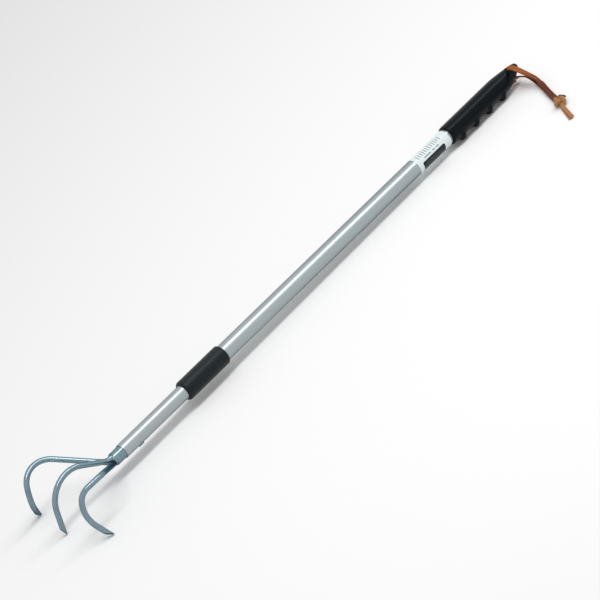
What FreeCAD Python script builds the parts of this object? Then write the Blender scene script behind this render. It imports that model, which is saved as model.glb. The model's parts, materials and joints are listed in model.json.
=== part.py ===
import FreeCAD, Part
import math
import os

# A telescopic three-tine cultivator claw that lies on the ground, in millimetres.
# The tool is drawn along X, from claw to grip, with the lower end of the outer tube at
# X = 0 and its axis on X. At the end it is laid down on two tines and one finger ridge.

V = FreeCAD.Vector
along = V(1, 0, 0)

# Clearances
running_gap = 0.05      # radial, between pieces that slide or turn in each other
seat_gap = 0.02         # radial, between pieces that are fixed to each other
end_gap = 0.3           # along the tool, between pieces that stop each other

# Tines, round steel rod. The three rods nest in the ferrule, and the tubes are sized
# round it, so a thicker rod or wall makes all that is outside it larger. The corners of
# each tine are its distance beyond the ferrule, out to the side and over the axis.
rod_d = 7.0
rod_gap = 0.1
rod_in_ferrule = 32.2
middle_shoulder_reach = 7.2
middle_crest = (87.2, 0.0, 55.6)
middle_tip = (103.6, 0.0, -27.9)
middle_radii = [14.0, 36.4]
side_shoulder_reach = 3.6
side_corners = [(55.4, 62.2, 37.0), (85.7, 53.5, 32.0), (96.5, 51.0, 4.0)]
side_tip = (85.7, 70.8, -28.5)
side_radii = [8.0, 27.0, 20.0, 37.0]
bevel_length = 10.5
bevel_flat = 0.7

# Weld beads between the rods in the mouth of the ferrule
bead_depth = 6.0
bead_proud = 1.2

# Ferrule that carries the tines in the inner tube
ferrule_wall = 0.8
ferrule_exposed = 14.7
ferrule_past_rivet = 17.0

# Blind rivet through the inner tube and the ferrule
rivet_past_rods = 7.4
rivet_angle = 57.0
rivet_shank_d = 4.0
rivet_head_d = 8.0
rivet_head = 1.3
rivet_tail_d = 5.6
rivet_tail = 2.6
mandrel_d = 2.0

# Inner tube, drawn aluminium, nominally 19 mm
inner_wall = 1.0
inner_exposed = 115.5

# Guide bush between the tubes
bush_wall = 0.43
bush_length = 90.0
bush_flange = 1.5
bush_flange_inset = 0.1

# Outer tube, drawn aluminium, nominally 22 mm
tube_wall = 1.0
tube_length = 598.0

# Sleeve that holds the bush on the outer tube
sleeve_wall = 2.3
sleeve_above = 66.8
sleeve_lip = 4.0
sleeve_corner = 3.4

# Hand grip, moulded soft plastic. Its ridges are spread evenly between the first, a
# distance in from its mouth, and the last, just past the end of the tube.
grip_wall = 2.5
grip_cover = 98.2
grip_taper_past = 2.0
grip_closed_end = 0.8
ridge_count = 4
first_ridge_in = 17.6
last_ridge_past = 1.0
ridge_height = 2.0
ridge_drop = 2.2
ridge_sink = 0.3
ridge_claw_run = 4.2
ridge_crest_back = 1.7
ridge_crest_front = 1.6
ridge_grip_run = 9.5
ridge_crest_fall = 0.7
mouth_round = 1.2
thong_hole = 8.6
thong_hole_past = 30.0

# The grip's closed end narrows to a hanging tab. Each section of it is a distance past
# the end of the tube, how far its top, its bottom and its sides lie inside the round
# grip's surface, and how square it is.
tab_sections = [
    (-10.0, 0.08, 0.08, 0.08, 2.0),
    (2.0, 0.1, 0.08, 0.08, 2.0),
    (8.0, 0.5, 0.1, 0.4, 2.0),
    (15.0, 1.0, 0.1, 1.3, 2.1),
    (23.0, 1.6, 1.1, 3.1, 2.3),
    (30.0, 2.3, 3.5, 4.9, 2.5),
    (36.0, 2.9, 6.9, 5.9, 2.5),
    (41.0, 4.1, 10.9, 6.9, 2.4),
    (44.3, 4.9, 14.9, 8.2, 2.2),
    (45.6, 5.9, 17.1, 10.1, 2.0),
]
tab_points = 16

# Label, a film round the outer tube
label_gap = 3.6
label_length = 61.0
label_film = 0.15

# Twist lock inside the tubes
lock_to_grip_end = 3.9
plug_length = 22.0
plug_flange = 3.0
plug_pin_d = 3.0
plug_pin_back = 15.0
stud_d = 8.0
stud_in_plug = 7.0
stud_head_flange = 1.5
stud_head = 1.5
washer_flange = 3.5
washer = 1.5
expander_length = 26.0
expander_end_wall = 1.75
expander_slit = 2.0
nut_length = 18.0
nut_wall = 1.1
nut_flange = 3.0
nut_flange_step = 0.6
nut_key_height = 2.4

# Leather thong. Its points are measured from the thong hole, and their heights from
# the ground. The solids are round cords that stand for a flat strap.
thong_cord_d = 2.4
thong_offset = -2.9
thong_upper = [(0, -2.9, 31.4), (0.5, -11.3, 29.6), (3.2, -19.5, 23.0), (5.8, -28, 14.6),
               (6.8, -37.5, 8.6), (4.6, -48, 5.2), (-1, -61, 4.2), (-7, -74, 3.9),
               (-14.5, -88, 4.0), (-24, -104, 6.6)]
thong_lower = [(0.2, -2.9, 3.6), (6.5, -7.6, 4.2), (11.2, -12.5, 10.4), (11.9, -18, 13.6),
               (11.0, -25, 12.2), (9.6, -34, 7.4), (7.6, -44, 3.4), (2.6, -55, 1.9),
               (-4.3, -69, 1.4), (-12.6, -84, 1.4), (-24, -104, 3.6)]
thong_tail = [(-26, -106, 3.5), (-30, -114, 2.2), (-38, -128, 1.4), (-46.5, -143, 1.4)]
tail_spread = 3.2
knot_centre = (-26.0, -106.0, 6.5)
knot_radii = (7.0, 8.0, 6.3)

# Radii that follow from the rods outwards
nest_r = (rod_d + rod_gap) / 2 / math.cos(math.radians(30))
ferrule_bore_r = nest_r + rod_d / 2 + running_gap
ferrule_r = ferrule_bore_r + ferrule_wall
inner_bore_r = ferrule_r + running_gap
inner_r = inner_bore_r + inner_wall
bush_r = inner_r + running_gap + bush_wall
bore_r = bush_r + seat_gap
tube_r = bore_r + tube_wall
sleeve_r = tube_r + sleeve_wall
grip_r = tube_r + grip_wall
ridge_r = grip_r + ridge_height
ridge_root_r = grip_r - ridge_drop - ridge_sink

# Stations along the tool that follow from the ones above
grip_start = tube_length - grip_cover
first_ridge = grip_start + first_ridge_in
last_ridge = tube_length + last_ridge_past
ridge_pitch = (last_ridge - first_ridge) / (ridge_count - 1)
label_start = grip_start - label_gap - label_length
stud_end = tube_length + grip_closed_end - lock_to_grip_end
washer_start = stud_end - stud_head - washer
nut_end = washer_start - end_gap
expander_end = nut_end - nut_flange - end_gap
expander_start = expander_end - expander_length
plug_face = expander_start - end_gap
inner_engaged = plug_face - plug_flange
inner_end = -inner_exposed
ferrule_end = inner_end - ferrule_exposed
rivet_x = ferrule_end + rod_in_ferrule + rivet_past_rods
ferrule_start = rivet_x + ferrule_past_rivet


def ring(outer_r, bore, start, end):
    """A straight ring or disc round the tool's axis."""
    body = Part.makeCylinder(outer_r, end - start, V(start, 0, 0), along)
    if bore > 0:
        body = body.cut(Part.makeCylinder(bore, end - start, V(start, 0, 0), along))
    return body


def turned(outline, centre_z=0.0):
    """A solid of revolution from (x, radius) corners, round a line along X."""
    points = [V(x, 0, radius + centre_z) for x, radius in outline]
    face = Part.Face(Part.makePolygon(points + points[:1]))
    return face.revolve(V(0, 0, centre_z), along, 360)


def bent_wire(points, radii):
    """Straight runs joined by tangent arcs, one radius for each inner point."""
    edges = []
    start = points[0]
    for before, corner, after, radius in zip(points, points[1:], points[2:], radii):
        to_before = (before - corner).normalize()
        to_after = (after - corner).normalize()
        turn = math.pi - to_before.getAngle(to_after)
        tangent = radius * math.tan(turn / 2)
        arc_start = corner + to_before * tangent
        arc_end = corner + to_after * tangent
        inward = (to_before + to_after).normalize()
        middle = corner + inward * (radius / math.cos(turn / 2) - radius)
        edges.append(Part.LineSegment(start, arc_start).toShape())
        edges.append(Part.Arc(arc_start, middle, arc_end).toShape())
        start = arc_end
    edges.append(Part.LineSegment(start, points[-1]).toShape())
    return Part.Wire(edges)


def swept_rod(wire, diameter):
    """A round rod along a wire, with flat ends square to it."""
    first = wire.Edges[0]
    start = first.valueAt(first.FirstParameter)
    heading = first.tangentAt(first.FirstParameter)
    circle = Part.Wire(Part.Circle(start, heading, diameter / 2).toShape())
    return wire.makePipeShell([circle], True, False)


def outer_tube():
    return ring(tube_r, bore_r, 0, tube_length)


def inner_tube():
    tube = ring(inner_r, inner_bore_r, inner_end, inner_engaged)
    tube = tube.cut(rivet_hole())
    return tube.cut(plug_pin_hole())


def guide_bush():
    bush = ring(bush_r, inner_r + running_gap, 0, bush_length)
    flange = ring(tube_r - bush_flange_inset, inner_r + running_gap, -bush_flange, 0)
    return bush.fuse(flange).removeSplitter()


def sleeve():
    low = -bush_flange - seat_gap - sleeve_lip
    bore = inner_r + running_gap
    body = ring(sleeve_r, bore, low, sleeve_above)
    outer_edges = [edge for edge in body.Edges if edge_radius(edge) > sleeve_r - seat_gap
                   and edge.BoundBox.XLength < seat_gap]
    body = body.makeFillet(min(sleeve_corner, 0.95 * (sleeve_r - bore)), outer_edges)
    seat = Part.makeCylinder(tube_r + seat_gap, sleeve_above - low,
                             V(low + sleeve_lip, 0, 0), along)
    return body.cut(seat)


def edge_radius(edge):
    """The radius of a circular edge, and 0 for any other."""
    return edge.Curve.Radius if isinstance(edge.Curve, Part.Circle) else 0


def tab_section(past, top_in, bottom_in, side_in, squareness):
    """One closed curve of the hanging tab: an oval that can be slightly square."""
    x = tube_length + past
    centre = (bottom_in - top_in) / 2
    half_height = grip_r - (top_in + bottom_in) / 2
    half_width = grip_r - side_in
    points = []
    for step in range(tab_points):
        angle = 2 * math.pi * step / tab_points
        side = math.copysign(abs(math.sin(angle)) ** (2 / squareness), math.sin(angle))
        rise = math.copysign(abs(math.cos(angle)) ** (2 / squareness), math.cos(angle))
        points.append(V(x, half_width * side, centre + half_height * rise))
    curve = Part.BSplineCurve()
    curve.interpolate(Points=points, PeriodicFlag=True)
    return Part.Wire(curve.toShape())


def finger_ridge(crest):
    """A ridge round the underside, made on a lowered axis so that it fades at the top."""
    outline = [(crest - ridge_claw_run, ridge_root_r),
               (crest - ridge_crest_back, ridge_r - ridge_crest_fall),
               (crest - ridge_crest_back / 2, ridge_r - ridge_crest_fall / 4),
               (crest, ridge_r),
               (crest + ridge_crest_front / 2, ridge_r - ridge_crest_fall / 4),
               (crest + ridge_crest_front, ridge_r - ridge_crest_fall),
               (crest + ridge_grip_run, ridge_root_r)]
    return turned(outline, -ridge_drop)


def hand_grip():
    body = ring(grip_r, 0, grip_start, tube_length + grip_taper_past)
    rim = [edge for edge in body.Edges if edge.BoundBox.XMax < grip_start + seat_gap]
    body = body.makeFillet(min(mouth_round, 0.8 * grip_wall), rim)
    tab = Part.makeLoft([tab_section(*section) for section in tab_sections], True, False)
    body = body.fuse(tab)
    for index in range(ridge_count):
        body = body.fuse(finger_ridge(first_ridge + index * ridge_pitch))
    socket_length = tube_length + grip_closed_end - grip_start
    socket = Part.makeCylinder(tube_r + seat_gap, socket_length, V(grip_start, 0, 0), along)
    hole_low = V(tube_length + thong_hole_past, 0, -2 * grip_r)
    hole = Part.makeCylinder(thong_hole / 2, 4 * grip_r, hole_low, V(0, 0, 1))
    return body.cut(socket).cut(hole)


def label():
    return ring(tube_r + label_film, tube_r, label_start, label_start + label_length)


def plug_pin_place():
    """Where the cross pin starts, and its length."""
    length = 2 * inner_r - 4 * seat_gap
    return V(inner_engaged - plug_pin_back, -length / 2, 0), length


def plug_pin_hole():
    start, length = plug_pin_place()
    start.y -= inner_r
    return Part.makeCylinder(plug_pin_d / 2 + seat_gap, length + 2 * inner_r, start, V(0, 1, 0))


def plug_pin():
    start, length = plug_pin_place()
    return Part.makeCylinder(plug_pin_d / 2, length, start, V(0, 1, 0))


def end_plug():
    body = ring(inner_bore_r - seat_gap, 0, inner_engaged - plug_length, inner_engaged)
    flange = ring(inner_r - seat_gap, 0, inner_engaged, plug_face)
    stud_hole = Part.makeCylinder(stud_d / 2 + seat_gap, stud_in_plug + plug_flange,
                                  V(inner_engaged - stud_in_plug, 0, 0), along)
    return body.fuse(flange).removeSplitter().cut(stud_hole).cut(plug_pin_hole())


def lock_stud():
    shank = ring(stud_d / 2, 0, inner_engaged - stud_in_plug, stud_end - stud_head)
    head = ring(stud_d / 2 + stud_head_flange, 0, stud_end - stud_head, stud_end)
    return shank.fuse(head).removeSplitter()


def stop_washer():
    return ring(stud_d / 2 + washer_flange, stud_d / 2 + seat_gap, washer_start, washer_start + washer)


def expander_bore_r(x):
    """The radius of the expander's conical bore at a station along the tool."""
    small = stud_d / 2 + 2 * running_gap + nut_wall
    large = bore_r - running_gap - expander_end_wall
    return small + (x - expander_start) / expander_length * (large - small)


def expander_sleeve():
    outline = [(expander_start, expander_bore_r(expander_start)),
               (expander_start, bore_r - running_gap),
               (expander_end, bore_r - running_gap),
               (expander_end, expander_bore_r(expander_end))]
    body = turned(outline)
    slit = Part.makeBox(expander_length, expander_slit, 2 * tube_r,
                        V(expander_start, -expander_slit / 2, 0))
    return body.cut(slit)


def cone_nut():
    cone_start = expander_end - nut_length
    bore = stud_d / 2 + running_gap
    gap = running_gap
    flange_r = expander_bore_r(expander_end) + nut_flange_step
    outline = [(cone_start, bore),
               (cone_start, expander_bore_r(cone_start) - gap),
               (expander_end, expander_bore_r(expander_end) - gap),
               (expander_end + end_gap, expander_bore_r(expander_end) - gap),
               (expander_end + end_gap, flange_r),
               (nut_end, flange_r),
               (nut_end, bore)]
    key_low = expander_bore_r(cone_start) - 2 * gap - nut_key_height / 2
    key = Part.makeBox(nut_length + end_gap, expander_slit - 2 * gap, nut_key_height,
                       V(cone_start, -expander_slit / 2 + gap, key_low))
    return turned(outline).fuse(key).removeSplitter()


def ferrule():
    body = ring(ferrule_r, ferrule_bore_r, ferrule_end, ferrule_start)
    return body.cut(rivet_hole())


def rivet_direction():
    """Outwards from the axis, towards the front and below."""
    angle = math.radians(rivet_angle)
    return V(0, -math.cos(angle), -math.sin(angle))


def rivet_hole():
    return Part.makeCylinder(rivet_shank_d / 2 + seat_gap, 2 * inner_r, V(rivet_x, 0, 0),
                             rivet_direction())


def rivet_disc(diameter, low, high):
    """A disc on the rivet's own axis, between two distances from the tool's axis."""
    out = rivet_direction()
    return Part.makeCylinder(diameter / 2, high - low, V(rivet_x, 0, 0) + out * low, out)


def rivet():
    tail_low = ferrule_bore_r - rivet_tail
    wall = Part.makeCylinder(inner_r, rivet_head_d * 2, V(rivet_x - rivet_head_d, 0, 0), along)
    head = rivet_disc(rivet_head_d, inner_r - rivet_head, inner_r + rivet_head)
    rim = [edge for edge in head.Edges if edge_radius(edge) > 0
           and edge.CenterOfMass.dot(rivet_direction()) > inner_r]
    head = head.makeFillet(rivet_head * 0.7, rim).cut(wall)
    shank = rivet_disc(rivet_shank_d, ferrule_bore_r - rivet_tail / 2, inner_r + rivet_head / 2)
    tail = rivet_disc(rivet_tail_d, tail_low, ferrule_bore_r - rivet_tail / 4)
    bore = Part.makeCylinder(mandrel_d / 2 + seat_gap, 2 * inner_r, V(rivet_x, 0, 0),
                             rivet_direction())
    return head.fuse(shank).fuse(tail).removeSplitter().cut(bore)


def rivet_mandrel():
    low = ferrule_bore_r - rivet_tail
    return rivet_disc(mandrel_d, low, inner_r + rivet_head - 4 * seat_gap)


def tine(start_side, start_height, corners, tip, radii):
    """A bent rod from inside the ferrule to a tip that is bevelled on its front."""
    start_x = ferrule_end + rod_in_ferrule
    points = [V(start_x, start_side, start_height)]
    for reach, side, height in corners + [tip]:
        points.append(V(ferrule_end - reach, side, height))
    rod = swept_rod(bent_wire(points, radii), rod_d)
    heading = (points[-1] - points[-2]).normalize()
    front = V(-1, 0, 0)
    front = (front - heading * front.dot(heading)).normalize()
    return rod.cut(bevel_cutter(points[-1], heading, front))


def bevel_cutter(end, heading, front):
    """A prism that takes off the front of a tine's last few millimetres."""
    low = end - front * (rod_d / 2 - bevel_flat)
    high = end - heading * bevel_length + front * rod_d / 2
    slope = (high - low).normalize()
    across = heading.cross(front)
    outwards = slope.cross(across)
    if outwards.dot(heading) < 0:
        outwards = outwards * -1
    corner = low - slope * rod_d - across * rod_d
    far = high + slope * rod_d - across * rod_d
    profile = [corner, far, far + outwards * 3 * rod_d, corner + outwards * 3 * rod_d, corner]
    return Part.Face(Part.makePolygon(profile)).extrude(across * 2 * rod_d)


def middle_tine():
    shoulder = (middle_shoulder_reach, 0.0, nest_r)
    return tine(0.0, nest_r, [shoulder, middle_crest], middle_tip, middle_radii)


def side_tine(side):
    """The tine towards the front, side -1, or towards the back, side 1."""
    start_side = side * (rod_d + rod_gap) / 2
    start_height = -nest_r / 2
    corners = [(side_shoulder_reach, start_side, start_height)]
    corners += [(reach, side * out, height) for reach, out, height in side_corners]
    tip = (side_tip[0], side * side_tip[1], side_tip[2])
    return tine(start_side, start_height, corners, tip, side_radii)


def weld_beads():
    """A bead in each of the three gaps between the rods and the ferrule. It is the
    circle that comes within the rod gap of two rods and of the ferrule."""
    share = math.radians(60)
    wall, rod = ferrule_bore_r - rod_gap, rod_d / 2 + rod_gap
    bead_r = (wall ** 2 + nest_r ** 2 - wall * nest_r - rod ** 2) / (2 * (wall + rod) - nest_r)
    reach = wall - bead_r
    beads = []
    for index in range(3):
        angle = 2 * share * index + share
        centre = V(ferrule_end + bead_depth, reach * math.sin(angle), reach * math.cos(angle))
        length = bead_depth + bead_proud - bead_r
        shank = Part.makeCylinder(bead_r, length, centre, V(-1, 0, 0))
        dome = Part.makeSphere(bead_r, centre - V(length, 0, 0))
        beads.append(shank.fuse(dome).removeSplitter())
    return Part.makeCompound(beads)


def cord_radii(name, points):
    """An arc at each inner point, as large as its two runs allow."""
    radii = []
    for before, corner, after in zip(points, points[1:], points[2:]):
        shorter = min((before - corner).Length, (after - corner).Length)
        turn = (corner - before).getAngle(after - corner)
        radii.append(0.45 * shorter / math.tan(turn / 2))
    print(name, "radii", [round(radius, 1) for radius in radii])
    return radii


def thong_cord(name, hole, offsets, shift=0.0):
    """A round cord that stands for a flat strap, from its points over the ground."""
    points = [V(hole.x + x + shift, hole.y + y, height) for x, y, height in offsets]
    return swept_rod(bent_wire(points, cord_radii(name, points)), thong_cord_d)


def thong_strand(name, hole, offsets):
    """A strand that starts half way through the hole, on the hole's front wall."""
    start = (0.0, thong_offset, hole.z)
    return thong_cord(name, hole, [start] + offsets)


def knot(hole):
    """The overhand knot, as an egg of its outer size."""
    ball = Part.makeSphere(1.0)
    stretch = FreeCAD.Matrix()
    stretch.scale(V(*knot_radii))
    x, y, height = knot_centre
    stretch.move(V(hole.x + x, hole.y + y, height))
    return ball.transformGeometry(stretch)


def laid_down(pieces):
    """The placement that rests the tool on its side tines and its last finger ridge."""
    claw = [pieces["tine_left"], pieces["tine_right"]]
    tilt = 0.0
    for _ in range(3):
        turn = FreeCAD.Rotation(V(0, 1, 0), math.degrees(tilt))
        turned_claw = [moved(shape, FreeCAD.Placement(V(), turn)) for shape in claw]
        turned_grip = moved(pieces["hand_grip"], FreeCAD.Placement(V(), turn))
        claw_low = min(exact_box(shape).ZMin for shape in turned_claw)
        grip_low = exact_box(turned_grip).ZMin
        tilt += math.atan2(grip_low - claw_low, last_ridge - ferrule_end + side_tip[0])
    turn = FreeCAD.Rotation(V(0, 1, 0), math.degrees(tilt))
    return FreeCAD.Placement(V(), turn)


def exact_box(shape):
    return shape.optimalBoundingBox(False, False)


def moved(shape, placement):
    copy = shape.copy()
    copy.Placement = placement.multiply(copy.Placement)
    return copy


def main():
    pieces = {
        "outer_tube": outer_tube(),
        "hand_grip": hand_grip(),
        "label": label(),
        "sleeve": sleeve(),
        "guide_bush": guide_bush(),
        "inner_tube": inner_tube(),
        "end_plug": end_plug(),
        "plug_pin": plug_pin(),
        "lock_stud": lock_stud(),
        "stop_washer": stop_washer(),
        "expander_sleeve": expander_sleeve(),
        "cone_nut": cone_nut(),
        "ferrule": ferrule(),
        "rivet": rivet(),
        "rivet_mandrel": rivet_mandrel(),
        "tine_left": side_tine(-1),
        "tine_middle": middle_tine(),
        "tine_right": side_tine(1),
        "weld_beads": weld_beads(),
    }
    tilt = laid_down(pieces)
    tool_box = exact_box(Part.makeCompound([moved(shape, tilt) for shape in pieces.values()]))
    to_origin = V(-tool_box.Center.x, -tool_box.Center.y, -tool_box.ZMin)
    rest = FreeCAD.Placement(to_origin, FreeCAD.Rotation()).multiply(tilt)
    pieces = {name: moved(shape, rest) for name, shape in pieces.items()}

    hole = rest.multVec(V(tube_length + thong_hole_past, 0, 0))
    axis = rest.Rotation.multVec(V(-1, 0, 0))
    print("thong hole", hole, "slide axis", axis, "tube end", rest.multVec(V()))
    tie = knot(hole)
    pieces["thong_knot"] = tie
    pieces["thong_upper"] = thong_strand("upper", hole, thong_upper).cut(tie)
    pieces["thong_lower"] = thong_strand("lower", hole, thong_lower).cut(tie)
    tails = [thong_cord("tail", hole, thong_tail, shift).cut(tie)
             for shift in (-tail_spread / 2, tail_spread / 2)]
    pieces["thong_tails"] = Part.makeCompound(tails)

    os.makedirs("parts", exist_ok=True)
    for name, shape in pieces.items():
        shape.exportStep("parts/" + name + ".step")
        print(name, len(shape.Solids), round(shape.Volume, 1), shape.isValid())


main()
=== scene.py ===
import json
import math

import bmesh
import bpy
from bpy.props import FloatProperty, FloatVectorProperty, IntProperty, PointerProperty
from mathutils import Matrix, Vector


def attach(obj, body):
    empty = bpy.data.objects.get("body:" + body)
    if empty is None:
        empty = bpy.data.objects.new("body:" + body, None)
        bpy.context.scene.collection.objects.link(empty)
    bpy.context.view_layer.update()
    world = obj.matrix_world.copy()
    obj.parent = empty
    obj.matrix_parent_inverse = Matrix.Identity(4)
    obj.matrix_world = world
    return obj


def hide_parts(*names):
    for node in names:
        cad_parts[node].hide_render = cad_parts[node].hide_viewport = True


bl_info = {
    "name": "Cultivator Claw",
    "version": (1, 0, 0),
    "blender": (4, 5, 0),
    "location": "View3D > Sidebar > Claw",
    "description": "Builds the visible pieces of a telescopic cultivator claw round its frame",
    "category": "Object",
}

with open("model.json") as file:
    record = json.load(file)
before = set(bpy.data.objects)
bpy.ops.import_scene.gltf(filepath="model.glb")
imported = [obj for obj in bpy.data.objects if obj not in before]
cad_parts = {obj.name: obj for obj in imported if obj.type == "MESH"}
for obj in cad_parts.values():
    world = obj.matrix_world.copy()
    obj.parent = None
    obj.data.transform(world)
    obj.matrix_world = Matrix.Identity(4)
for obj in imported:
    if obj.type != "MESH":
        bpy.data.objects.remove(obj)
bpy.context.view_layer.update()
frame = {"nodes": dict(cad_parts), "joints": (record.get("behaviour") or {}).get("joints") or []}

MM = 0.001

# Points round a turned piece, round the grip, and on a round corner
ROUND_STEPS = 96
GRIP_STEPS = 64
CORNER_STEPS = 8

# Points this near are at one place, and doubles this near are merged
SAME_PLACE = 0.01 * MM
DOUBLES = 0.002 * MM

# Sockets of a colour Mix node
MIX_FACTOR, MIX_GROUND, MIX_COVER, MIX_RESULT = 0, 6, 7, 2


def tool_matrix():
    """The tool's own axes: X from claw to grip along the tube, from the outer tube's mouth."""
    lock = next(joint for joint in frame["joints"] if joint["name"] == "twist_lock")
    to_grip = -Vector(lock["axis"]).normalized()
    across = Vector((0, 1, 0))
    upwards = to_grip.cross(across)
    turn = Matrix((to_grip, across, upwards)).transposed().to_4x4()
    return Matrix.Translation(Vector(lock["pos_m"])) @ turn


TOOL = tool_matrix()


def linear(value):
    """An sRGB hex colour as the linear colour that a shader takes."""
    channels = [int(value[start:start + 2], 16) / 255 for start in (0, 2, 4)]
    return tuple(c / 12.92 if c <= 0.04045 else ((c + 0.055) / 1.055) ** 2.4
                 for c in channels)


def colour(label, description, value):
    """A colour that a user can change, with its default in sRGB hex."""
    return FloatVectorProperty(name=label, description=description, subtype="COLOR",
                               size=3, min=0, max=1, default=linear(value))


def length(label, description, value):
    """A size in millimetres that a user can change."""
    return FloatProperty(name=label, description=description, default=value, min=0.01)


class ClawSizes(bpy.types.PropertyGroup):
    """Sizes of the visible pieces, in millimetres."""
    tube_od: length("Outer tube", "Outer diameter of the outer tube", 22.0)
    tube_bore: length("Outer tube bore", "Bore of the outer tube", 20.0)
    tube_length: length("Outer tube length", "Length of the outer tube", 598.0)
    inner_od: length("Inner tube", "Outer diameter of the inner tube", 19.0)
    inner_bore: length("Inner tube bore", "Bore of the inner tube", 17.0)
    inner_exposed: length("Inner tube out", "Inner tube beyond the outer tube", 115.5)
    inner_engaged: length("Inner tube in", "Inner tube within the outer tube", 559.0)
    sleeve_od: length("Sleeve", "Outer diameter of the sleeve", 26.6)
    sleeve_low: length("Sleeve overhang", "Sleeve beyond the outer tube", 5.52)
    sleeve_high: length("Sleeve cover", "Sleeve over the outer tube", 66.8)
    sleeve_corner: length("Sleeve corner", "Radius of the sleeve's round ends", 3.4)
    label_start: length("Label place", "Start of the label along the tube", 435.2)
    label_length: length("Label length", "Length of the label along the tube", 61.0)
    grip_start: length("Grip place", "Start of the grip along the tube", 499.8)
    grip_od: length("Grip", "Outer diameter of the round part of the grip", 27.0)
    ridge_pitch: length("Ridge pitch", "Distance between finger ridges", 27.2)
    ridge_last: length("Last ridge", "Place of the ridge nearest the tab", 599.0)
    ridge_count: IntProperty(name="Ridges", description="Number of finger ridges", default=4)
    hole_x: length("Hole place", "Place of the thong hole along the tube", 628.0)
    hole_d: length("Hole", "Diameter of the thong hole", 8.6)
    ferrule_od: length("Ferrule", "Outer diameter of the ferrule", 16.9)
    ferrule_out: length("Ferrule out", "Ferrule beyond the inner tube", 14.7)
    rod_d: length("Rod", "Diameter of the tine rods", 7.0)
    strap_width: length("Strap width", "Width of the leather strap", 8.2)
    strap_thick: length("Strap thickness", "Thickness of the leather strap", 1.9)


class ClawColours(bpy.types.PropertyGroup):
    """Base colours of the finishes."""
    aluminium: colour("Aluminium", "Satin anodised tube", "A2ABAD")
    vinyl: colour("Vinyl", "Grip and its tab", "05070A")
    sleeve: colour("Sleeve", "Sleeve on the pole", "080B0D")
    film: colour("Film", "Ground of the label", "DDE7E9")
    print_dark: colour("Dark print", "Panel on the label", "15161A")
    print_pale: colour("Pale print", "Ruled marks on the label", "7F908E")
    zinc: colour("Zinc", "Zinc plating on steel", "7C9099")
    steel: colour("Steel", "Bright turned steel", "B4B6B8")
    leather: colour("Leather", "Grain side of the strap", "AD6230")
    # The dark leather colour is the oiled places and also the painted shade along the strands,
    # where they twist away from the light
    leather_dark_and_shade: colour("Dark leather", "Oiled and bent places", "4A1E08")
    leather_flesh: colour("Leather back", "Flesh side and cut edges", "A98660")
    nylon: colour("Nylon", "Natural nylon lock parts", "DAD6CA")
    ground: colour("Ground", "Floor and backdrop", "F8F8F8")


def sizes():
    return bpy.context.scene.claw_sizes


def colours():
    return bpy.context.scene.claw_colours


def opaque(value):
    return (*value, 1.0)


def fill_sockets(tree, node, inputs):
    """Links each input that is given a socket, and sets each that is given a value."""
    for name, value in inputs.items():
        if isinstance(value, bpy.types.NodeSocket):
            tree.links.new(value, node.inputs[name])
        else:
            node.inputs[name].default_value = value


def add_node(tree, kind, inputs=None, **settings):
    """Adds a node with its settings and inputs."""
    made = tree.nodes.new(kind)
    for name, value in settings.items():
        setattr(made, name, value)
    fill_sockets(tree, made, inputs or {})
    return made


def new_material(name):
    """An empty node material with its shader linked to the output."""
    material = bpy.data.materials.new(name)
    material.use_nodes = True
    tree = material.node_tree
    tree.nodes.clear()
    shader = add_node(tree, "ShaderNodeBsdfPrincipled")
    add_node(tree, "ShaderNodeOutputMaterial", {"Surface": shader.outputs["BSDF"]})
    return material, tree, shader


def tool_turn():
    """The pole's slope, as an angle about Y."""
    slope = TOOL.to_3x3() @ Vector((1, 0, 0))
    return math.atan2(slope.z, slope.x)


def object_pattern(tree, grain, turn=0.0):
    """Object coordinates for a pattern whose grain has one real size, or one for each
    axis, turned to the tool's axis where it follows that."""
    grain = grain if isinstance(grain, tuple) else (grain,) * 3
    place = add_node(tree, "ShaderNodeTexCoord").outputs["Object"]
    return add_node(tree, "ShaderNodeMapping", {
        "Vector": place, "Rotation": (0, turn, 0),
        "Scale": tuple(1 / size for size in grain)}).outputs["Vector"]


def mottle(tree, grain, detail=2.0, roughness=0.5, turn=0.0):
    """Patches as large as the grain, from 0 to 1."""
    return add_node(tree, "ShaderNodeTexNoise", {
        "Vector": object_pattern(tree, grain, turn), "Scale": 1.0, "Detail": detail,
        "Roughness": roughness}).outputs["Fac"]


def covered(tree, mask, ground, cover):
    """A ground colour with another over it where a mask is 1."""
    return add_node(tree, "ShaderNodeMix", {
        MIX_FACTOR: mask, MIX_GROUND: ground, MIX_COVER: cover},
        data_type="RGBA").outputs[MIX_RESULT]


def shaded(value, amount):
    """A colour made darker or lighter, with its alpha."""
    return (*(min(1.0, part * amount) for part in value[:3]), 1.0)


def toned(tree, pattern, base, low, high):
    """A colour that a pattern makes darker and lighter."""
    return covered(tree, pattern, shaded(base, low), shaded(base, high))


def dress(tree, shader, base, rough, relief=None, values=None):
    """Gives a shader its colour and its roughness, which is one value or a pattern and
    the range that it spreads over. A relief is a pattern, its depth and its strength."""
    if isinstance(rough, tuple):
        pattern, low, high = rough
        rough = add_node(tree, "ShaderNodeMapRange", {
            "Value": pattern, "To Min": low, "To Max": high}).outputs["Result"]
    fill_sockets(tree, shader, {"Base Color": base, "Roughness": rough, **(values or {})})
    if relief:
        height, depth, strength = relief
        bumps = add_node(tree, "ShaderNodeBump", {
            "Height": height, "Distance": depth, "Strength": strength})
        fill_sockets(tree, shader, {"Normal": bumps.outputs["Normal"]})


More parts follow.
